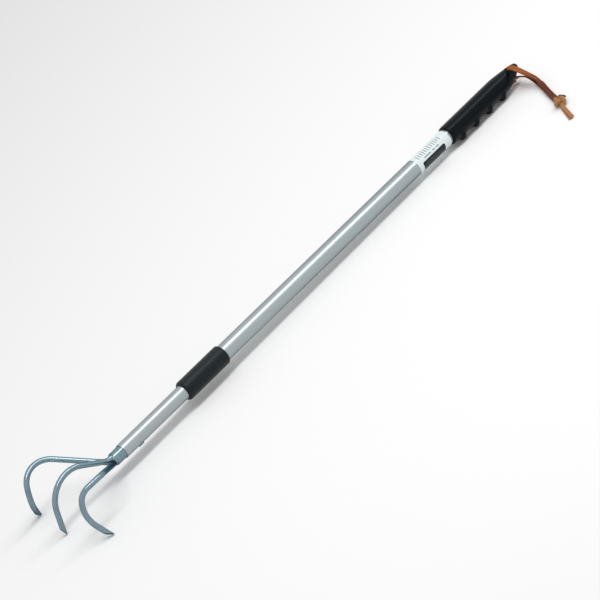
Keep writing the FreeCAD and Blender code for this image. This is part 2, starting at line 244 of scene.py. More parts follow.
def anodised_aluminium():
    """Drawn aluminium tube, satin anodised: fine lines run along it and spread the
    highlight, with faint cloudy changes in sheen from handling."""
    material, tree, shader = new_material("anodised_aluminium")
    line_width, line_length, cloud = 0.3 * MM, 90 * MM, 14 * MM
    lines = mottle(tree, (line_length, line_width, line_width), 1.0, turn=tool_turn())
    dress(tree, shader, toned(tree, lines, colours().aluminium, 0.97, 1.03),
          (mottle(tree, cloud), 0.31, 0.36), (lines, 0.004 * MM, 0.3),
          {"Metallic": 1.0, "Specular Tint": opaque(linear("A2A8AA"))})
    return material


def moulded_vinyl():
    """Moulded plasticised PVC: near black, glossy, with a slight orange peel and a
    softer sheen where hands have rubbed it."""
    material, tree, shader = new_material("moulded_vinyl")
    peel, wear = 1.3 * MM, 16 * MM
    worn = mottle(tree, wear, 3.0)
    dress(tree, shader, toned(tree, worn, colours().vinyl, 0.8, 1.4), (worn, 0.24, 0.34),
          (mottle(tree, peel), 0.015 * MM, 0.3),
          {"IOR": 1.45, "Specular IOR Level": 0.15,
           "Specular Tint": opaque(linear("D4EDF2"))})
    return material


def satin_plastic():
    """Moulded polypropylene with a fine spark-eroded texture: black, low sheen."""
    material, tree, shader = new_material("satin_plastic")
    grain, wear = 0.45 * MM, 12 * MM
    worn = mottle(tree, wear, 3.0)
    dress(tree, shader, toned(tree, worn, colours().sleeve, 0.8, 1.3), (worn, 0.4, 0.5),
          (mottle(tree, grain), 0.02 * MM, 0.4),
          {"IOR": 1.49, "Specular IOR Level": 0.3,
           "Specular Tint": opaque(linear("D4EDF2"))})
    return material


def zinc_plated_steel():
    """Bright zinc plating on drawn rod: a cool grey with a blue cast that is deeper
    towards its outline, and clouds in it at the scale of a fingertip."""
    material, tree, shader = new_material("zinc_plated_steel")
    cloud, grain = 9 * MM, 0.7 * MM
    clouds = mottle(tree, cloud, 3.0)
    dress(tree, shader, toned(tree, clouds, colours().zinc, 0.86, 1.14),
          (clouds, 0.16, 0.24), (mottle(tree, grain), 0.004 * MM, 0.3),
          {"Metallic": 1.0, "Specular Tint": opaque(linear("8496A2"))})
    return material


def weld_metal():
    """The plated weld between the rods: the same zinc, rippled, with painted highlights that
    lighten its colour up to 1.7 times on the ripples."""
    material, tree, shader = new_material("weld_metal")
    ripple = 1.6 * MM
    ripples_and_highlights = mottle(tree, ripple)
    # The ripple pattern makes the bump, and it also lifts the colour up to 1.7 times as painted
    # highlights
    dress(tree, shader, toned(tree, ripples_and_highlights, colours().zinc, 0.8, 1.7), 0.35,
          (ripples_and_highlights, 0.2 * MM, 0.6), {"Metallic": 1.0})
    return material


def turned_steel():
    """Bright turned steel: tool marks run round it."""
    material, tree, shader = new_material("turned_steel")
    mark = 0.25 * MM
    marks = mottle(tree, (mark, math.inf, math.inf), turn=tool_turn())
    dress(tree, shader, toned(tree, marks, colours().steel, 0.85, 1.1),
          (marks, 0.2, 0.34), values={"Metallic": 1.0})
    return material


def natural_nylon():
    """Unpigmented nylon: milky, with a dull moulded surface."""
    material, tree, shader = new_material("natural_nylon")
    cloud = 5 * MM
    dress(tree, shader, toned(tree, mottle(tree, cloud), colours().nylon, 0.92, 1.04), 0.42)
    return material


def oiled_leather(name, face, deep, dark_from, dark_to):
    """Vegetable-tanned leather strap, oiled: fine pores, streaks along its cut edges, and darker
    along its length from one share to another. On the grain side this darkening is painted
    shade, where the strap twists away from the light."""
    material, tree, shader = new_material(name)
    pore, cloud, streak = 0.55 * MM, 9 * MM, 2.4 * MM
    run = add_node(tree, "ShaderNodeUVMap", uv_map="run").outputs["UV"]
    share = add_node(tree, "ShaderNodeSeparateXYZ", {"Vector": run}).outputs["Y"]
    # Painted shade: the colour darkens towards the deep colour from one share of the length to
    # another, where the strap turns away from the light
    darker_along = add_node(tree, "ShaderNodeMapRange", {
        "Value": share, "From Min": dark_from, "From Max": dark_to, "To Min": 0.0,
        "To Max": 0.85}).outputs["Result"]
    stained = add_node(tree, "ShaderNodeMapRange", {
        "Value": mottle(tree, cloud, 4.0, 0.6), "To Min": -0.3, "To Max": 0.7})
    streaks = mottle(tree, streak, 3.0)
    streaked = add_node(tree, "ShaderNodeMapRange", {
        "Value": streaks, "To Min": 0.0, "To Max": 0.3})
    pores = add_node(tree, "ShaderNodeTexVoronoi", {
        "Vector": object_pattern(tree, pore), "Scale": 1.0}).outputs["Distance"]
    tint = covered(tree, stained.outputs["Result"], opaque(face), opaque(deep))
    tint = covered(tree, darker_along, tint, opaque(deep))
    tint = covered(tree, streaked.outputs["Result"], tint, shaded(deep, 0.7))
    dress(tree, shader, tint, (streaks, 0.45, 0.65), (pores, 0.06 * MM, 0.5),
          {"IOR": 1.45, "Specular IOR Level": 0.2})
    return material


def box_mask(tree, place, centre, half, corner):
    """1 inside a rounded rectangle on the label's map, in millimetres, and 0 outside."""
    offset = add_node(tree, "ShaderNodeVectorMath", {0: place, 1: (*centre, 0)},
                      operation="SUBTRACT").outputs["Vector"]
    size = add_node(tree, "ShaderNodeVectorMath", {0: offset},
                    operation="ABSOLUTE").outputs["Vector"]
    inner = (half[0] - corner, half[1] - corner, 0)
    past = add_node(tree, "ShaderNodeVectorMath", {0: size, 1: inner},
                    operation="SUBTRACT").outputs["Vector"]
    outside = add_node(tree, "ShaderNodeVectorMath", {0: past, 1: (0, 0, 0)},
                       operation="MAXIMUM").outputs["Vector"]
    reach = add_node(tree, "ShaderNodeVectorMath", {0: outside},
                     operation="LENGTH").outputs["Value"]
    return add_node(tree, "ShaderNodeMapRange", {
        "Value": reach, "From Min": corner - PRINT_SOFT, "From Max": corner + PRINT_SOFT,
        "To Min": 1.0, "To Max": 0.0}).outputs["Result"]


def printed_film():
    """Gloss-laminated white film with a dark panel, plain rules, dashes and a scale of
    pale ticks. Its map is in millimetres round the tube and along it."""
    material, tree, shader = new_material("printed_film")
    mapped = add_node(tree, "ShaderNodeUVMap", uv_map="film").outputs["UV"]
    pale = opaque(colours().print_pale)
    marks = []
    for index in range(LABEL_TICKS):
        place = (LABEL_TICK_SIDE, LABEL_TICK_START + index * LABEL_TICK_PITCH)
        half = (LABEL_TICK_HALF[index % len(LABEL_TICK_HALF)], LABEL_LINE)
        marks.append((place, half, 0.1, pale))
    for start, size in LABEL_DASHES:
        place = (LABEL_DASH_SIDE, start + size / 2)
        marks.append((place, (LABEL_LINE, size / 2), 0.3, shaded(pale, 0.7)))
    marks.append((LABEL_PANEL, LABEL_PANEL_HALF, 2.0, opaque(colours().print_dark)))
    for side, start, size in LABEL_RULES:
        place = (side, start + size / 2)
        marks.append((place, (LABEL_LINE, size / 2), 0.4, shaded(pale, 0.2)))
    surface = opaque(colours().film)
    for place, half, corner, ink in marks:
        surface = covered(tree, box_mask(tree, mapped, place, half, corner), surface, ink)
    dress(tree, shader, surface, 0.3, values={"IOR": 1.5, "Specular IOR Level": 0.25})
    return material


def deselect():
    if bpy.context.mode != "OBJECT":
        bpy.ops.object.mode_set(mode="OBJECT")
    bpy.ops.object.select_all(action="DESELECT")


def select_only(piece):
    deselect()
    piece.select_set(True)
    bpy.context.view_layer.objects.active = piece


def apply_modifiers(piece):
    select_only(piece)
    for modifier in list(piece.modifiers):
        bpy.ops.object.modifier_apply(modifier=modifier.name)


def break_edges(piece, width, segments=2, angle=30):
    """Bevels the edges that turn by more than an angle, after the piece's other
    modifiers, and applies them all."""
    bevel = piece.modifiers.new("Edges", "BEVEL")
    bevel.width = width * MM
    bevel.segments = segments
    bevel.limit_method = "ANGLE"
    bevel.angle_limit = math.radians(angle)
    apply_modifiers(piece)


def leave_edit(merge=False):
    """Turns all faces outwards, with double points merged first, and leaves edit mode."""
    bpy.ops.mesh.select_all(action="SELECT")
    if merge:
        bpy.ops.mesh.remove_doubles(threshold=DOUBLES)
    bpy.ops.mesh.normals_make_consistent(inside=False)
    bpy.ops.object.mode_set(mode="OBJECT")


def smooth_faces(piece, angle):
    select_only(piece)
    bpy.ops.object.shade_smooth_by_angle(angle=math.radians(angle))


def settle(piece, material, body, slot, *nodes):
    """Gives a finished piece its material and its body, and hides the frame's pieces that it
    stands for. The slot is not used.
    """
    piece.data.materials.clear()
    piece.data.materials.append(material)
    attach(piece, body)
    if nodes:
        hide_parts(*nodes)
    return piece


def set_in_tool(piece, angle, *settled):
    """Smooths a piece that was made in the tool's own axes, moves its mesh to the
    frame's and settles it there."""
    smooth_faces(piece, angle)
    piece.data.transform(TOOL @ piece.matrix_basis)
    piece.matrix_basis = Matrix.Identity(4)
    settle(piece, *settled)


def turned_shell(name, stations, closed=True, steps=ROUND_STEPS):
    """A ring of points, extruded along the tool from station to station and resized
    there. A station is (x, radius) or (x, radius, height of its centre)."""
    deselect()
    stations = [(*station, 0.0)[:3] for station in stations]
    x, radius, height = stations[0]
    bpy.ops.mesh.primitive_circle_add(
        vertices=steps, radius=radius * MM, fill_type="NOTHING",
        location=(x * MM, 0, height * MM), rotation=(0, math.pi / 2, 0))
    piece = bpy.context.object
    piece.name = name
    bpy.ops.object.transform_apply(location=True, rotation=True, scale=True)
    bpy.ops.object.mode_set(mode="EDIT")
    bpy.ops.mesh.select_all(action="SELECT")
    for next_x, next_radius, next_height in stations[1:]:
        move = ((next_x - x) * MM, 0, (next_height - height) * MM)
        bpy.ops.mesh.extrude_region_move(TRANSFORM_OT_translate={"value": move})
        grow = next_radius / radius
        bpy.ops.transform.resize(value=(1, grow, grow),
                                 center_override=(next_x * MM, 0, next_height * MM))
        x, radius, height = next_x, next_radius, next_height
    leave_edit(merge=closed)
    return piece


def tube_piece(name, outer_d, bore, start, end, edge=0.2):
    """A tube with broken edges."""
    piece = turned_shell(name, [(start, outer_d / 2), (end, outer_d / 2), (end, bore / 2),
                                (start, bore / 2), (start, outer_d / 2)])
    break_edges(piece, edge)
    return piece


class CLAW_OT_tubes(bpy.types.Operator):
    """Makes the two aluminium tubes"""
    bl_idname = "claw.tubes"
    bl_label = "Tubes"

    def execute(self, context):
        size = sizes()
        finish = anodised_aluminium()
        outer = tube_piece("outer_tube_skin", size.tube_od, size.tube_bore, 0,
                           size.tube_length)
        set_in_tool(outer, TURNED_ANGLE, finish, "handle", "tube_aluminium", "outer_tube")
        inner = tube_piece("inner_tube_skin", size.inner_od, size.inner_bore,
                           -size.inner_exposed, size.inner_engaged)
        set_in_tool(inner, TURNED_ANGLE, finish, "claw", "tube_aluminium", "inner_tube")
        return {"FINISHED"}


def corner_arc(centre_x, centre_r, radius, start, end):
    """Stations on a round corner, from one angle to another in degrees."""
    angles = [math.radians(start + (end - start) * step / CORNER_STEPS)
              for step in range(CORNER_STEPS + 1)]
    return [(centre_x + radius * math.cos(angle), centre_r + radius * math.sin(angle))
            for angle in angles]


class CLAW_OT_sleeve(bpy.types.Operator):
    """Makes the black sleeve over the mouth of the outer tube"""
    bl_idname = "claw.sleeve"
    bl_label = "Sleeve"

    def execute(self, context):
        size = sizes()
        low, high = -size.sleeve_low, size.sleeve_high
        radius, corner = size.sleeve_od / 2, size.sleeve_corner
        far_corner = corner * SLEEVE_FAR_CORNER
        bore = size.inner_od / 2 + SLEEVE_LIP_GAP
        seat = size.tube_od / 2 + SEAT_GAP
        lip = low + SLEEVE_LIP
        outline = [(low, bore)]
        outline += corner_arc(low + corner, radius - corner, corner, 180, 90)
        outline += corner_arc(high - far_corner, radius - far_corner, far_corner, 90, 0)
        outline += [(high, seat), (lip, seat), (lip, bore), (low, bore)]
        set_in_tool(turned_shell("sleeve_shell", outline), TURNED_ANGLE, satin_plastic(),
                    "handle", "sleeve_plastic", "sleeve")
        return {"FINISHED"}


def map_round(piece, radius, start):
    """Maps a turned piece in millimetres: round the tube from the front, and along it."""
    bm = bmesh.new()
    bm.from_mesh(piece.data)
    layer = bm.loops.layers.uv.new("film")
    for face in bm.faces:
        middle = face.calc_center_median()
        home = math.atan2(-middle.y, middle.z)
        for loop in face.loops:
            spot = loop.vert.co
            angle = math.atan2(-spot.y, spot.z)
            angle += 2 * math.pi * round((home - angle) / (2 * math.pi))
            loop[layer].uv = (angle * radius, spot.x / MM - start)
    bm.to_mesh(piece.data)
    bm.free()


class CLAW_OT_label(bpy.types.Operator):
    """Makes the film label round the outer tube"""
    bl_idname = "claw.label"
    bl_label = "Label"

    def execute(self, context):
        size = sizes()
        start, end = size.label_start, size.label_start + size.label_length
        tube = size.tube_od / 2
        film = tube + LABEL_FILM
        piece = turned_shell("label_film", [
            (start, tube), (start + LABEL_EDGE, film), (end - LABEL_EDGE, film),
            (end, tube), (start, tube)])
        map_round(piece, tube, start)
        set_in_tool(piece, TURNED_ANGLE, printed_film(), "handle", "label_film", "label")
        return {"FINISHED"}


def grip_section(x):
    """The top, the bottom and the half width of the grip at one place along the tool,
    without its ridges."""
    for before, after in zip(GRIP_SECTIONS, GRIP_SECTIONS[1:]):
        if x <= after[0]:
            share = (x - before[0]) / (after[0] - before[0])
            return [one + (two - one) * share for one, two in zip(before[1:], after[1:])]
    return list(GRIP_SECTIONS[-1][1:])


def ridge_crests():
    """The ridges' places along the tool, from the mouth."""
    size = sizes()
    return [size.ridge_last - index * size.ridge_pitch
            for index in reversed(range(size.ridge_count))]


def grip_places():
    """Where the grip has a ring of points: close together on the ridges."""
    places = [sizes().grip_start + GRIP_MOUTH[-1][0]]
    for crest in ridge_crests():
        places += [crest + row[0] for row in RIDGE_PROFILE]
    places += [row[0] for row in GRIP_SECTIONS if row[0] > places[-1] + CLOSEST_RINGS]
    return places


def loft_sections(x, section, places):
    """Extrudes the selected ring from place to place, and resizes it to the section there."""
    top, bottom, half_width = section
    for next_x in places:
        next_top, next_bottom, next_width = grip_section(next_x)
        centre = (next_top + next_bottom) / 2
        move = ((next_x - x) * MM, 0, (centre - (top + bottom) / 2) * MM)
        bpy.ops.mesh.extrude_region_move(TRANSFORM_OT_translate={"value": move})
        bpy.ops.transform.resize(
            value=(1, next_width / half_width, (next_top - next_bottom) / (top - bottom)),
            center_override=(next_x * MM, 0, centre * MM))
        x, top, bottom, half_width = next_x, next_top, next_bottom, next_width


def select_points(piece, wanted):
    """Selects the points whose place passes a test, in edit mode."""
    bpy.ops.mesh.select_all(action="DESELECT")
    bm = bmesh.from_edit_mesh(piece.data)
    for vert in bm.verts:
        vert.select_set(wanted(vert.co))
    bm.select_flush(True)
    bmesh.update_edit_mesh(piece.data)


def select_under(piece, places, reach=180.0):
    """Selects the points of some rings along the tool that are within an angle of
    straight down."""
    def wanted(spot):
        on_ring = any(abs(spot.x - place * MM) < SAME_PLACE for place in places)
        return on_ring and math.degrees(math.atan2(abs(spot.y), -spot.z)) < reach + 0.01

    select_points(piece, wanted)


def ridge_share(angle):
    """How much of a ridge's height there is at an angle from straight down: all of it
    below, fading to nothing at the sides, so that the front stays smooth."""
    share = min(1.0, max(0.0, (angle - RIDGE_FULL) / (RIDGE_REACH - RIDGE_FULL)))
    return 0.5 + 0.5 * math.cos(math.pi * share)


def raise_ridges(piece):
    """Raises the finger ridges under the grip, ring by ring, in steps that narrow
    towards the bottom."""
    radius = sizes().grip_od / 2
    half_step = RIDGE_STEP // 2
    for offset, height in RIDGE_PROFILE:
        places = [crest + offset for crest in ridge_crests()]
        for reach in range(RIDGE_REACH - half_step, RIDGE_FULL - RIDGE_STEP, -RIDGE_STEP):
            rise = height * (ridge_share(reach - half_step) - ridge_share(reach + half_step))
            grow = 1 + rise / radius
            select_under(piece, places, reach)
            bpy.ops.transform.resize(value=(1, grow, grow), center_override=(0, 0, 0))


class CLAW_OT_grip(bpy.types.Operator):
    """Makes the finger-groove grip and its hanging tab"""
    bl_idname = "claw.grip"
    bl_label = "Grip"

    def execute(self, context):
        size = sizes()
        body = size.grip_od / 2
        seat = size.tube_od / 2 + SEAT_GAP
        mouth = size.grip_start
        stations = [(mouth + x, body - drop) for x, drop in GRIP_MOUTH]
        piece = turned_shell("grip_moulding", [(mouth, seat), *stations], closed=False,
                             steps=GRIP_STEPS)
        bpy.ops.object.mode_set(mode="EDIT")
        places = grip_places()
        select_under(piece, places[:1])
        loft_sections(places[0], (body, -body, body), places[1:])
        bpy.ops.mesh.extrude_region_move()
        bpy.ops.transform.resize(value=(1, 0.5, 0.5))
        bpy.ops.mesh.edge_face_add()
        raise_ridges(piece)
        bpy.ops.object.mode_set(mode="OBJECT")
        extrude_socket(piece, mouth, size.tube_length + GRIP_CLOSED_END, seat)
        smooth = piece.modifiers.new("Smooth", "SUBSURF")
        smooth.levels = smooth.render_levels = 1
        apply_modifiers(piece)
        drill(piece, size.hole_x, size.hole_d)
        set_in_tool(piece, GRIP_ANGLE, moulded_vinyl(), "handle", "grip_vinyl", "hand_grip")
        return {"FINISHED"}


def extrude_socket(piece, mouth, end, radius):
    """Extrudes the socket for the tube inwards from the grip's mouth, and closes it."""
    def wanted(spot):
        at_mouth = abs(spot.x - mouth * MM) < SAME_PLACE
        return at_mouth and abs(math.hypot(spot.y, spot.z) - radius * MM) < SAME_PLACE

    select_only(piece)
    bpy.ops.object.mode_set(mode="EDIT")
    select_points(piece, wanted)
    for run in (SOCKET_START, end - mouth - SOCKET_START):
        bpy.ops.mesh.extrude_region_move(TRANSFORM_OT_translate={"value": (run * MM, 0, 0)})
    bpy.ops.mesh.edge_face_add()
    leave_edit()


def drill(piece, x, diameter):
    """Drills the thong hole from top to bottom, with a rounded rim."""
    deselect()
    bpy.ops.mesh.primitive_cylinder_add(vertices=48, radius=diameter / 2 * MM,
                                        depth=60 * MM, location=(x * MM, 0, 0))
    cutter = bpy.context.object
    cut = piece.modifiers.new("Hole", "BOOLEAN")
    cut.operation = "DIFFERENCE"
    cut.solver = "EXACT"
    cut.object = cutter
    break_edges(piece, HOLE_RIM, segments=3, angle=50)
    bpy.data.objects.remove(cutter)


class CLAW_OT_ferrule(bpy.types.Operator):
    """Makes the ferrule and the weld that fills its mouth round the rods"""
    bl_idname = "claw.ferrule"
    bl_label = "Ferrule"

    def execute(self, context):
        size = sizes()
        end = -size.inner_exposed
        mouth = end - size.ferrule_out
        piece = tube_piece("ferrule_tube", size.ferrule_od,
                           size.ferrule_od - 2 * FERRULE_WALL, mouth,
                           end + FERRULE_INSIDE, 0.3)
        set_in_tool(piece, TURNED_ANGLE, zinc_plated_steel(), "claw", "zinc_steel", "ferrule")
        bore = size.ferrule_od / 2 - FERRULE_WALL - SEAT_GAP
        front = mouth + WELD_IN
        dome = [(front - reach, bore * share) for reach, share in WELD_DOME]
        weld = turned_shell("weld_fill", [(mouth + WELD_DEPTH, bore), (front, bore), *dome],
                            closed=False)
        bpy.ops.object.mode_set(mode="EDIT")
        bpy.ops.mesh.select_all(action="SELECT")
        bpy.ops.mesh.fill_holes(sides=0)
        leave_edit()
        set_in_tool(weld, WELD_ANGLE, weld_metal(), "claw", "zinc_steel", "weld_beads")
        return {"FINISHED"}


def bent_route(points, radii, arc_steps=10):
    """Points on straight runs joined by tangent arcs."""
    route = [Vector(points[0])]
    for before, corner, after, radius in zip(points, points[1:], points[2:], radii):
        before, corner, after = Vector(before), Vector(corner), Vector(after)
        back, onward = (before - corner).normalized(), (after - corner).normalized()
        turn = math.pi - back.angle(onward)
        reach = radius * math.tan(turn / 2)
        middle = corner + (back + onward).normalized() * radius / math.cos(turn / 2)
        first = (corner + back * reach - middle).normalized()
        side = (corner + onward * reach - middle)
        side = (side - first * side.dot(first)).normalized()
        for step in range(arc_steps + 1):
            angle = turn * step / arc_steps
            route.append(middle + radius * (first * math.cos(angle) + side * math.sin(angle)))
    route.append(Vector(points[-1]))
    kept = [route[0]]
    for spot in route[1:]:
        if (spot - kept[-1]).length > CLOSEST_POINTS:
            kept.append(spot)
    return kept


def curve_object(name, kind, points, **settings):
    """A curve of one spline on points in metres, and that spline."""
    line = bpy.data.curves.new(name, "CURVE")
    line.dimensions = "3D"
    for setting, value in settings.items():
        setattr(line, setting, value)
    spline = line.splines.new(kind)
    spline.points.add(len(points) - 1)
    for point, spot in zip(spline.points, points):
        point.co = (*spot, 1)
    piece = bpy.data.objects.new(name, line)
    bpy.context.scene.collection.objects.link(piece)
    return piece, spline


def rod_along(name, route, diameter):
    """A round rod along a route, made as a bevelled curve and turned to a mesh."""
    piece, _ = curve_object(name, "POLY", [spot * MM for spot in route],
                            bevel_depth=diameter / 2 * MM, bevel_resolution=10,
                            use_fill_caps=True)
    select_only(piece)
    bpy.ops.object.convert(target="MESH")
    bpy.ops.object.mode_set(mode="EDIT")
    leave_edit(merge=True)
    return piece


def grind_tip(piece, route, diameter):
    """Grinds the front of a tine's tip to a slope, and breaks its edges."""
    tip = route[-1]
    heading = (route[-1] - route[-2]).normalized()
    front = Vector((-1, 0, 0))
    front = (front - heading * front.dot(heading)).normalized()
    low = tip - front * (diameter / 2 - BEVEL_FLAT)
    high = tip - heading * BEVEL_LENGTH + front * diameter / 2
    slope = (high - low).normalized()
    outwards = slope.cross(heading.cross(front)).normalized()
    if outwards.dot(heading) < 0:
        outwards = -outwards
    select_only(piece)
    bpy.ops.object.mode_set(mode="EDIT")
    bpy.ops.mesh.select_all(action="DESELECT")
    bm = bmesh.from_edit_mesh(piece.data)
    for face in bm.faces:
        reach = (face.calc_center_median() - tip * MM).length
        face.select_set(reach < GRIND_REACH * MM)
    bmesh.update_edit_mesh(piece.data)
    bpy.ops.mesh.bisect(plane_co=low * MM, plane_no=outwards, clear_outer=True, use_fill=True)
    bpy.ops.object.mode_set(mode="OBJECT")
    break_edges(piece, 0.25, angle=25)


class CLAW_OT_tines(bpy.types.Operator):
    """Makes the three bent tines"""
    bl_idname = "claw.tines"
    bl_label = "Tines"

    def execute(self, context):
        size = sizes()
        finish = zinc_plated_steel()
        mouth = -size.inner_exposed - size.ferrule_out
        nest = (size.rod_d + ROD_GAP) / 2 / math.cos(math.radians(30))
        for name, side in (("tine_left", -1), ("tine_middle", 0), ("tine_right", 1)):
            start_side = side * (size.rod_d + ROD_GAP) / 2
            start_height = nest if side == 0 else -nest / 2
            corners = MIDDLE_CORNERS if side == 0 else SIDE_CORNERS
            radii = MIDDLE_RADII if side == 0 else SIDE_RADII
            shoulder = MIDDLE_SHOULDER if side == 0 else SIDE_SHOULDER
            points = [(mouth + ROD_IN_FERRULE, start_side, start_height),
                      (mouth - shoulder, start_side, start_height)]
            points += [(mouth - reach, side * out, height) for reach, out, height in corners]
            route = bent_route(points, radii)
            piece = rod_along(name + "_rod", route, size.rod_d)
            grind_tip(piece, route, size.rod_d)
            set_in_tool(piece, TINE_ANGLE, finish, "claw", "zinc_steel", name)
        return {"FINISHED"}


class CLAW_OT_carried_over(bpy.types.Operator):
    """Gives the small and inner pieces of the frame their materials"""
    bl_idname = "claw.carried_over"
    bl_label = "Carried-over pieces"

    def execute(self, context):
        finishes = {"steel": turned_steel(), "nylon": natural_nylon(),
                    "plastic": bpy.data.materials["satin_plastic"],
                    "zinc": bpy.data.materials["zinc_plated_steel"]}
        for name, finish in CARRIED_OVER.items():
            mesh = frame["nodes"][name].data
            mesh.materials.clear()
            mesh.materials.append(finishes[finish])
        return {"FINISHED"}


def smooth_route(name, points, steps=8):
    """Points along the NURBS line of a route."""
    carrier, spline = curve_object(name, "NURBS", points, resolution_u=steps)
    spline.order_u = 3
    spline.use_endpoint_u = True
    bpy.context.view_layer.update()
    mesh = bpy.data.meshes.new_from_object(carrier)
    route = [vert.co.copy() for vert in mesh.vertices]
    bpy.data.objects.remove(carrier)
    bpy.data.meshes.remove(mesh)
    return route


def strap_section(width, thickness):
    """Corners of a strap's section, with rounded edges: across it, and through it."""
    half, thick = width / 2, thickness / 2
    side, edge = thick * STRAP_SIDE, half - thick * STRAP_ROUND
    return [(-half, -side), (-edge, -thick), (0, -thick), (edge, -thick), (half, -side),
            (half, side), (edge, thick), (0, thick * STRAP_CROWN), (-edge, thick),
            (-half, side)]


def strap_mesh(name, route, face_keys, width, thickness, hole_width=1.0):
    """A flat strap along a route. face_keys give the way that its face looks, at shares
    of its length from 0 to 1. hole_width is its width in the hole that it starts in,
    where it is folded, as a share of its own."""
    bm = bmesh.new()
    section = strap_section(width, thickness)
    rings = []
    last = len(route) - 1
    for index, spot in enumerate(route):
        tangent = (route[min(index + 1, last)] - route[max(index - 1, 0)]).normalized()
        facing = keyed(face_keys, index / last)
        across = tangent.cross(facing).normalized()
        through = across.cross(tangent).normalized()
        folded = min(1.0, hole_width + (1.0 - hole_width) * index / last / HOLE_SHARE)
        rings.append([bm.verts.new(spot + across * (u * folded * MM) + through * (v * MM))
                      for u, v in section])
    layer = bm.loops.layers.uv.new("run")
    for place, (one, two) in enumerate(zip(rings, rings[1:])):
        for index in range(len(section)):
            after = (index + 1) % len(section)
            face = bm.faces.new((one[index], one[after], two[after], two[index]))
            for loop, at in zip(face.loops, (0, 0, 1, 1)):
                loop[layer].uv = (index / len(section), (place + at) / last)
    for ring, share in ((rings[0][::-1], 0.0), (rings[-1], 1.0)):
        for loop in bm.faces.new(ring).loops:
            loop[layer].uv = (0.0, share)
    bmesh.ops.recalc_face_normals(bm, faces=bm.faces)
    mesh = bpy.data.meshes.new(name)
    bm.to_mesh(mesh)
    bm.free()
    piece = bpy.data.objects.new(name, mesh)
    bpy.context.scene.collection.objects.link(piece)
    smooth_faces(piece, STRAP_ANGLE)
    return piece


def keyed(keys, share):
    """The direction at a share of the way between keys."""
    for (start, first), (end, second) in zip(keys, keys[1:]):
        if share <= end:
            step = (share - start) / (end - start)
            return Vector(first).lerp(Vector(second), step).normalized()
    return Vector(keys[-1][1]).normalized()


def thong_place(offset, hole):
    """A point given from the thong hole, and from the ground, in the frame."""
    x, y, height = offset
    return Vector((hole.x + x * MM, hole.y + y * MM, height * MM))


class CLAW_OT_thong(bpy.types.Operator):
    """Makes the leather thong: two strands, the knot and the two ends"""
    bl_idname = "claw.thong"
    bl_label = "Thong"

    def execute(self, context):
        size = sizes()
        tint = colours()
        # The grain side darkens from 30% to 62% of a strand's length: painted shade where the
        # strap twists away from the light
        grain = oiled_leather("oiled_leather", tint.leather, tint.leather_dark_and_shade, 0.3, 0.62)
        flesh = oiled_leather("leather_flesh_side", tint.leather_flesh, tint.leather, 0.0, 2.4)
        hole = TOOL @ Vector((size.hole_x * MM, 0, 0))
        start = Vector((hole.x, hole.y + STRAND_OFFSET * MM, hole.z))
        width, thick = size.strap_width, size.strap_thick
        knot_piece = self.knot(hole, flesh)
        tails = [self.tail(name, hole, points, flesh, width, thick)
                 for name, points in TAILS.items()]
        flap_route = smooth_route("thong_knot_flap", [thong_place(p, hole) for p in KNOT_FLAP])
        flap = strap_mesh("thong_knot_flap", flap_route, KNOT_FLAP_FACES,
                          width * KNOT_FLAP_WIDTH, thick)
        ends = [knot_piece, *tails, settle(flap, grain, "handle", "thong_leather")]
        for name, points, keys in STRANDS:
            route = smooth_route(name, [start] + [thong_place(p, hole) for p in points])
            piece = strap_mesh(name, route, keys, width, thick, HOLE_WIDTH)
            node = name.replace("_strap", "")
            settle(piece, grain, "handle", "thong_leather", node)
        return {"FINISHED"}

    def knot(self, hole, finish):
        """The overhand knot: one strap wound through itself and drawn tight."""
        across, along, through = KNOT_SIZE
        points = []
        for step in range(KNOT_STEPS):
            angle = 2 * math.pi * step / KNOT_STEPS
            points.append(Vector((
                across * (math.sin(angle) + 2 * math.sin(2 * angle)) / 3,
                along * (math.cos(angle) - 2 * math.cos(2 * angle)) / 3,
                -through * math.sin(3 * angle))) * MM)
        piece, spline = curve_object("thong_knot_wrap", "NURBS", points, resolution_u=3,
                                     bevel_depth=KNOT_STRAND / 2 * MM, bevel_resolution=5)
        spline.order_u = 4
        spline.use_cyclic_u = True
        select_only(piece)
        bpy.ops.object.convert(target="MESH")
        piece.data.uv_layers.new(name="run")
        turn = Matrix.Rotation(math.radians(KNOT_TURN), 4, "Z")
        piece.data.transform(Matrix.Translation(thong_place(KNOT_CENTRE, hole)) @ turn)
        smooth_faces(piece, KNOT_ANGLE)
        return settle(piece, finish, "handle", "thong_leather", "thong_knot")

    def tail(self, name, hole, points, finish, width, thick):
        """One end of the strap, from the knot to its cut."""
        route = smooth_route(name, [thong_place(p, hole) for p in points])
        piece = strap_mesh(name, route, TAIL_FACES[name], width * TAIL_WIDTH, thick)
        nodes = ["thong_tails"] if name == "thong_tail_upper" else []
        return settle(piece, finish, "handle", "thong_leather", *nodes)


